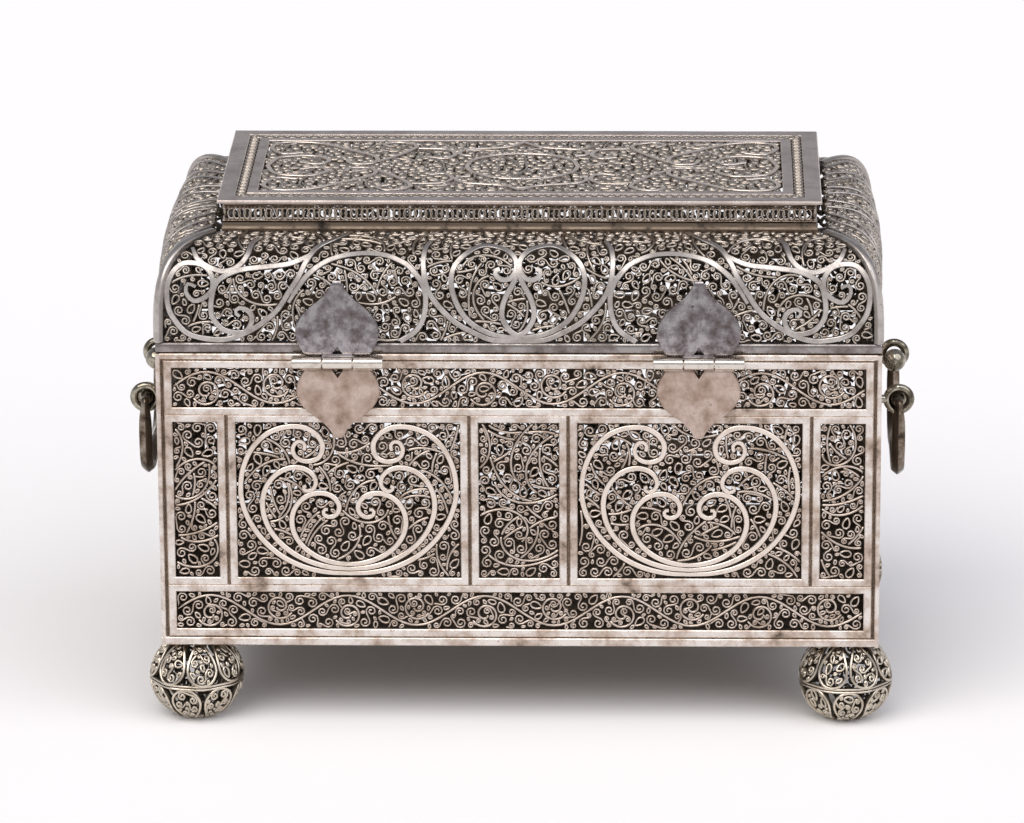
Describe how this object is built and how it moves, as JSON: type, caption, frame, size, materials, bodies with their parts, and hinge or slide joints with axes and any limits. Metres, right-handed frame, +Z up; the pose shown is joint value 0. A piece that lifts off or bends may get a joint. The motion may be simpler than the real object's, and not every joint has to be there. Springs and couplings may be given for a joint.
{
  "type": "silver filigree casket",
  "caption": "Oblong silver filigree casket on ball feet, with a hinged rounded lid carrying a raised platform, and a swinging drop handle at each end.",
  "frame": {"origin": "on the surface the feet stand on, under the middle of the box", "axes": "+X along the box's length, -Y the hinge side, +Z up"},
  "size_m": [0.2096, 0.1136, 0.1398],
  "materials": {
    "silver": "hand-worked silver strip and wire, burnished on its high edges, brown oxide in the recesses",
    "hinge_silver": "hammered sheet silver, softly scratched, with brown and blue-grey tarnish",
    "dark_silver": "cast and drawn silver with an olive-brown tarnish, bright where it is rubbed"
  },
  "bodies": {
    "case": {"back_wall": "silver", "front_wall": "silver", "left_wall": "silver", "right_wall": "silver", "floor_plate": "silver", "foot_back_left": "dark_silver", "foot_back_right": "dark_silver", "foot_front_left": "dark_silver", "foot_front_right": "dark_silver", "hinge_lower_leaf_left": "hinge_silver", "hinge_lower_leaf_right": "hinge_silver", "hinge_pin_left": "hinge_silver", "hinge_pin_right": "hinge_silver", "ring_eye_back_left": "dark_silver", "ring_eye_back_right": "dark_silver", "ring_eye_front_left": "dark_silver", "ring_eye_front_right": "dark_silver"},
    "lid": {"lid_dome": "silver", "platform_frieze": "silver", "platform_plate": "silver", "hinge_upper_leaf_left": "hinge_silver", "hinge_upper_leaf_right": "hinge_silver"},
    "handle_left": {"bail_left": "dark_silver"},
    "handle_right": {"bail_right": "dark_silver"}
  },
  "joints": [
    {"name": "lid_hinge", "type": "hinge", "parent": "case", "child": "lid", "pos_m": [0, -0.05455, 0.1012], "axis": [1, 0, 0], "range_deg": [0, 175]},
    {"name": "handle_left_swing", "type": "hinge", "parent": "case", "child": "handle_left", "pos_m": [-0.1006, 0, 0.08055], "axis": [0, 1, 0], "range_deg": [-5, 165]},
    {"name": "handle_right_swing", "type": "hinge", "parent": "case", "child": "handle_right", "pos_m": [0.1006, 0, 0.08055], "axis": [0, -1, 0], "range_deg": [-5, 165]}
  ]
}
